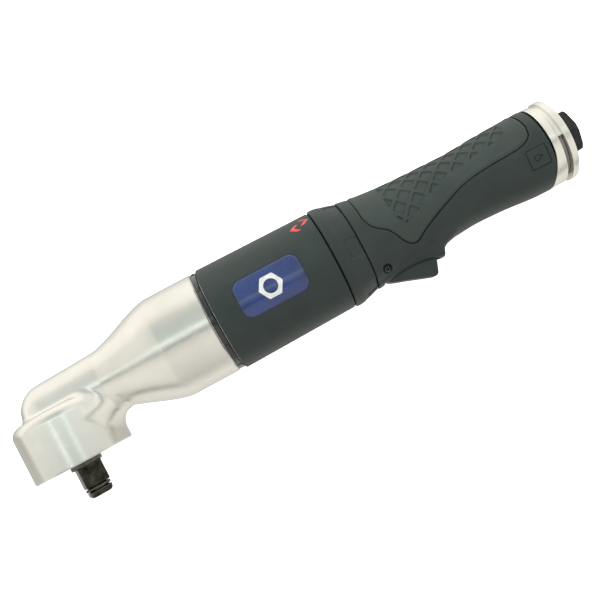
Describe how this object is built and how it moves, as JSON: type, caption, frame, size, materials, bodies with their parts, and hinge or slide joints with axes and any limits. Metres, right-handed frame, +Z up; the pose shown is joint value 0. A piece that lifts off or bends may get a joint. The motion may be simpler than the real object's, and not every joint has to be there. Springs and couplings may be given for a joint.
{
  "type": "air ratchet",
  "caption": "Right-angle air impact ratchet with a square drive head, motor sleeve, reversing ring, rubber grip, trigger and turning exhaust deflector.",
  "frame": {"origin": "centre of the shoulder on the square drive, where a socket seats", "axes": "+X runs along the motor axis from the head to the air inlet, the square drive points along -Y, +Z is up with the tool lying on its side"},
  "size_m": [0.3305, 0.0786, 0.0569],
  "materials": {
    "cast_aluminium": "polished casting, softly brushed",
    "machined_aluminium": "turned, satin",
    "black_oxide_steel": "black oxide, worn bright on its edges",
    "gear_steel": "hardened, ground teeth",
    "ground_steel": "ground",
    "motor_iron": "machined",
    "bronze": "sintered",
    "housing_plastic": "fine moulded grain, charcoal",
    "grip_rubber": "matt, with a diamond pattern",
    "gloss_black": "glossy",
    "black_zinc_steel": "black, glossy",
    "badge_print": "printed label under a clear face",
    "seal_rubber": "matt",
    "vane_composite": "pressed laminate",
    "valve_resin": "moulded",
    "muffler_felt": "felt"
  },
  "bodies": {
    "housing": {"angle_housing": "cast_aluminium", "spindle_cap": "machined_aluminium", "spindle_top_bush": "bronze", "spindle_lower_bush": "bronze", "grease_screw": "black_oxide_steel", "pinion_front_bearing": "ground_steel", "pinion_rear_bush": "bronze", "thrust_washer": "ground_steel", "front_end_plate": "motor_iron", "motor_cylinder": "motor_iron", "rear_end_plate": "motor_iron", "front_rotor_bearing": "ground_steel", "rear_rotor_bearing": "ground_steel", "locating_dowel": "ground_steel", "motor_gasket": "seal_rubber", "tie_screws": "ground_steel", "motor_sleeve": "housing_plastic", "front_ring": "gloss_black", "side_badge": "badge_print", "detent_ball": "ground_steel", "detent_spring": "ground_steel", "handle_housing": "housing_plastic", "grip_overmold": "grip_rubber", "trigger_pin": "ground_steel", "throttle_spring": "ground_steel", "valve_bush": "bronze", "valve_seat": "seal_rubber", "valve_seal": "seal_rubber", "inlet_bushing": "black_zinc_steel", "inlet_screen": "bronze", "exhaust_muffler": "muffler_felt", "deflector_oring": "seal_rubber", "rear_collar": "machined_aluminium"},
    "motor_rotor": {"rotor": "ground_steel", "rotor_vanes": "vane_composite", "hammer_frame": "gear_steel", "hammer_pins": "ground_steel"},
    "pinion": {"bevel_pinion": "gear_steel", "impact_anvil": "gear_steel"},
    "spindle": {"square_drive": "black_oxide_steel", "bevel_gear": "gear_steel", "socket_retainer": "black_oxide_steel", "retainer_oring": "seal_rubber"},
    "front_hammer": {"front_hammer": "gear_steel"},
    "rear_hammer": {"rear_hammer": "gear_steel"},
    "reversing_ring": {"reverse_ring": "housing_plastic", "reverse_valve": "valve_resin", "reverse_key": "ground_steel"},
    "trigger": {"trigger": "housing_plastic"},
    "throttle_valve": {"throttle_valve": "ground_steel"},
    "deflector": {"exhaust_deflector": "machined_aluminium"}
  },
  "joints": [
    {"name": "rotor_spin", "type": "hinge", "parent": "housing", "child": "motor_rotor", "pos_m": [0.124, 0.0335, 0], "axis": [1, 0, 0], "continuous": true},
    {"name": "pinion_spin", "type": "hinge", "parent": "housing", "child": "pinion", "pos_m": [0.035, 0.0335, 0], "axis": [1, 0, 0], "continuous": true},
    {"name": "spindle_spin", "type": "hinge", "parent": "housing", "child": "spindle", "pos_m": [0, 0, 0], "axis": [0, -1, 0], "continuous": true},
    {"name": "front_hammer_rock", "type": "hinge", "parent": "motor_rotor", "child": "front_hammer", "pos_m": [0.0738, 0.0508, 0], "axis": [1, 0, 0], "range_deg": [0, 4]},
    {"name": "rear_hammer_rock", "type": "hinge", "parent": "motor_rotor", "child": "rear_hammer", "pos_m": [0.0851, 0.0162, 0], "axis": [1, 0, 0], "range_deg": [0, 4]},
    {"name": "reverse_turn", "type": "hinge", "parent": "housing", "child": "reversing_ring", "pos_m": [0.168, 0.0335, 0], "axis": [1, 0, 0], "range_deg": [0, 40]},
    {"name": "trigger_press", "type": "hinge", "parent": "housing", "child": "trigger", "pos_m": [0.1825, 0.015, 0], "axis": [0, 0, 1], "range_deg": [0, 12], "stiffness_Nm_per_rad": 0.5, "springref_deg": -20.05, "deforming": ["throttle_spring"]},
    {"name": "throttle_slide", "type": "slide", "parent": "housing", "child": "throttle_valve", "axis": [0, 1, 0], "range_m": [0, 0.0036]},
    {"name": "deflector_turn", "type": "hinge", "parent": "housing", "child": "deflector", "pos_m": [0.2895, 0.0335, 0], "axis": [1, 0, 0], "continuous": true}
  ],
  "couplings": [
    {"joint": "pinion_spin", "follows": "rotor_spin", "ratio": 1},
    {"joint": "spindle_spin", "follows": "rotor_spin", "ratio": -0.6},
    {"joint": "throttle_slide", "follows": "trigger_press", "m_per_rad": 0.0166}
  ]
}
